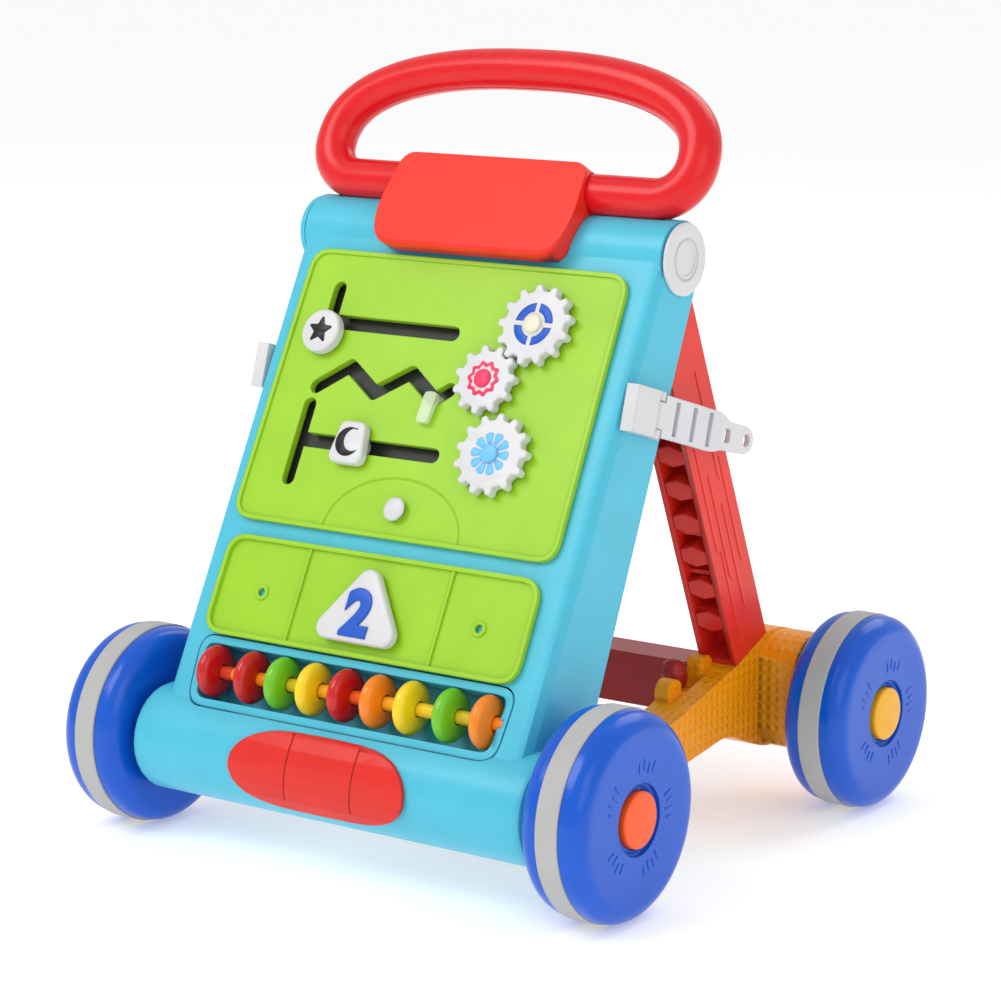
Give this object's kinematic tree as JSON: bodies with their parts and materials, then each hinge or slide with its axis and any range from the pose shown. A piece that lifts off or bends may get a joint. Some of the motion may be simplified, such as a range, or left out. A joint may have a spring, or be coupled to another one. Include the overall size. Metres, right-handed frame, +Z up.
{
  "type": "baby walker",
  "caption": "Folding push walker for a toddler: leaning play panel with gears, sliding tokens and beads, hinged rear legs, four wheels and an oval push handle.",
  "frame": {"origin": "on the floor midway between the axles, at the centre of the outline seen from above", "axes": "+Z up, -Y towards the play panel at the front, +X towards the right-hand wheels as seen from the front"},
  "size_m": [0.364, 0.381, 0.4434],
  "materials": {
    "turquoise_plastic": "satin moulded shell",
    "green_plastic": "satin moulded board",
    "dark_plastic": "matt, behind the slots",
    "coral_plastic": "satin",
    "orange_plastic": "satin",
    "yellow_plastic": "gloss",
    "red_plastic": "semi-gloss",
    "dark_red_plastic": "satin",
    "blue_plastic": "gloss",
    "grey_rubber": "matt",
    "steel": "plain drawn rod",
    "clear_plastic": "clear",
    "white_plastic": "gloss"
  },
  "bodies": {
    "front_frame": {"front_shell": "turquoise_plastic", "rear_cover": "turquoise_plastic", "upper_board": "green_plastic", "slot_backing": "dark_plastic", "lower_board": "green_plastic", "bead_tray": "turquoise_plastic", "front_badge": "coral_plastic", "bead_rod": "orange_plastic", "gear_pin_top": "white_plastic", "gear_pin_middle": "white_plastic", "gear_pin_bottom": "white_plastic", "tile_pin": "steel", "handle_loop": "red_plastic", "handle_block": "coral_plastic", "hinge_cap_right": "white_plastic", "hinge_cap_left": "turquoise_plastic", "hinge_shaft": "steel", "latch_block_right": "white_plastic", "latch_block_left": "white_plastic", "front_axle": "steel"},
    "rear_frame": {"leg_right": "red_plastic", "leg_left": "red_plastic", "foot_right": "orange_plastic", "foot_left": "orange_plastic", "cross_beam": "dark_red_plastic", "rear_axle": "steel"},
    "front_right_roller": {"front_wheel_right": "blue_plastic", "front_tyre_right": "grey_rubber", "front_hub_cap_right": "orange_plastic"},
    "front_left_roller": {"front_wheel_left": "blue_plastic", "front_tyre_left": "grey_rubber", "front_hub_cap_left": "orange_plastic"},
    "rear_right_roller": {"rear_wheel_right": "blue_plastic", "rear_tyre_right": "grey_rubber", "rear_hub_cap_right": "yellow_plastic"},
    "rear_left_roller": {"rear_wheel_left": "blue_plastic", "rear_tyre_left": "grey_rubber", "rear_hub_cap_left": "yellow_plastic"},
    "gear_top": {"gear_top": "white_plastic"},
    "gear_middle": {"gear_middle": "white_plastic"},
    "gear_bottom": {"gear_bottom": "white_plastic"},
    "round_token": {"round_token": "white_plastic", "round_token_clip": "white_plastic"},
    "square_token": {"square_token": "white_plastic", "square_token_clip": "white_plastic"},
    "clear_token": {"clear_token": "clear_plastic"},
    "push_button": {"push_button": "white_plastic"},
    "number_tile": {"number_tile": "white_plastic"},
    "bead_1": {"bead_1": "red_plastic"},
    "bead_2": {"bead_2": "red_plastic"},
    "bead_3": {"bead_3": "green_plastic"},
    "bead_4": {"bead_4": "yellow_plastic"},
    "bead_5": {"bead_5": "red_plastic"},
    "bead_6": {"bead_6": "orange_plastic"},
    "bead_7": {"bead_7": "yellow_plastic"},
    "bead_8": {"bead_8": "green_plastic"},
    "bead_9": {"bead_9": "orange_plastic"},
    "strap_right": {"latch_strap_right": "white_plastic"},
    "strap_left": {"latch_strap_left": "white_plastic"}
  },
  "joints": [
    {"name": "fold", "type": "hinge", "parent": "front_frame", "child": "rear_frame", "pos_m": [0, -0.00893, 0.33718], "axis": [-1, 0, 0], "range_deg": [0, 20]},
    {"name": "front_right_wheel_spin", "type": "hinge", "parent": "front_frame", "child": "front_right_roller", "pos_m": [0, -0.1325, 0.058], "axis": [1, 0, 0], "continuous": true},
    {"name": "front_left_wheel_spin", "type": "hinge", "parent": "front_frame", "child": "front_left_roller", "pos_m": [0, -0.1325, 0.058], "axis": [1, 0, 0], "continuous": true},
    {"name": "rear_right_wheel_spin", "type": "hinge", "parent": "rear_frame", "child": "rear_right_roller", "pos_m": [0, 0.1325, 0.058], "axis": [1, 0, 0], "continuous": true},
    {"name": "rear_left_wheel_spin", "type": "hinge", "parent": "rear_frame", "child": "rear_left_roller", "pos_m": [0, 0.1325, 0.058], "axis": [1, 0, 0], "continuous": true},
    {"name": "gear_top_spin", "type": "hinge", "parent": "front_frame", "child": "gear_top", "pos_m": [0.061, -0.05339, 0.29857], "axis": [0, 0.8886, -0.4587], "continuous": true},
    {"name": "gear_middle_spin", "type": "hinge", "parent": "front_frame", "child": "gear_middle", "pos_m": [0.0383, -0.06908, 0.26819], "axis": [0, 0.8886, -0.4587], "continuous": true},
    {"name": "gear_bottom_spin", "type": "hinge", "parent": "front_frame", "child": "gear_bottom", "pos_m": [0.0567, -0.0883, 0.23095], "axis": [0, 0.8886, -0.4587], "continuous": true},
    {"name": "round_token_slide", "type": "slide", "parent": "front_frame", "child": "round_token", "axis": [0, 0.4587, 0.8886], "range_m": [-0.002, 0.0275]},
    {"name": "square_token_slide", "type": "slide", "parent": "front_frame", "child": "square_token", "axis": [1, 0, 0], "range_m": [-0.0395, 0.0545]},
    {"name": "clear_token_slide", "type": "slide", "parent": "front_frame", "child": "clear_token", "axis": [-0.8258, 0.2587, 0.5011], "range_m": [0, 0.024]},
    {"name": "button_press", "type": "slide", "parent": "front_frame", "child": "push_button", "axis": [0, 0.8886, -0.4587], "range_m": [0, 0.003], "stiffness_N_per_m": 250},
    {"name": "number_tile_spin", "type": "hinge", "parent": "front_frame", "child": "number_tile", "pos_m": [0, -0.13196, 0.14636], "axis": [0, 0.8886, -0.4587], "continuous": true},
    {"name": "bead_1_slide", "type": "slide", "parent": "front_frame", "child": "bead_1", "axis": [1, 0, 0], "range_m": [-0.001, 0.0065]},
    {"name": "bead_2_slide", "type": "slide", "parent": "front_frame", "child": "bead_2", "axis": [1, 0, 0], "range_m": [-0.0065, 0.0052]},
    {"name": "bead_3_slide", "type": "slide", "parent": "front_frame", "child": "bead_3", "axis": [1, 0, 0], "range_m": [-0.0052, 0.00545]},
    {"name": "bead_4_slide", "type": "slide", "parent": "front_frame", "child": "bead_4", "axis": [1, 0, 0], "range_m": [-0.00545, 0.00545]},
    {"name": "bead_5_slide", "type": "slide", "parent": "front_frame", "child": "bead_5", "axis": [1, 0, 0], "range_m": [-0.00545, 0.00545]},
    {"name": "bead_6_slide", "type": "slide", "parent": "front_frame", "child": "bead_6", "axis": [1, 0, 0], "range_m": [-0.00545, 0.0057]},
    {"name": "bead_7_slide", "type": "slide", "parent": "front_frame", "child": "bead_7", "axis": [1, 0, 0], "range_m": [-0.0057, 0.0065]},
    {"name": "bead_8_slide", "type": "slide", "parent": "front_frame", "child": "bead_8", "axis": [1, 0, 0], "range_m": [-0.0065, 0.00645]},
    {"name": "bead_9_slide", "type": "slide", "parent": "front_frame", "child": "bead_9", "axis": [1, 0, 0], "range_m": [-0.00645, 0.0015]},
    {"name": "latch_right_swing", "type": "hinge", "parent": "front_frame", "child": "strap_right", "pos_m": [0.1299, -0.04102, 0.25561], "axis": [0, -0.2907, -0.9568], "range_deg": [0, 95]},
    {"name": "latch_left_swing", "type": "hinge", "parent": "front_frame", "child": "strap_left", "pos_m": [-0.1299, -0.04102, 0.25561], "axis": [0, 0.2907, 0.9568], "range_deg": [0, 95]}
  ],
  "couplings": [
    {"joint": "gear_middle_spin", "follows": "gear_top_spin", "ratio": -1.1818}
  ]
}
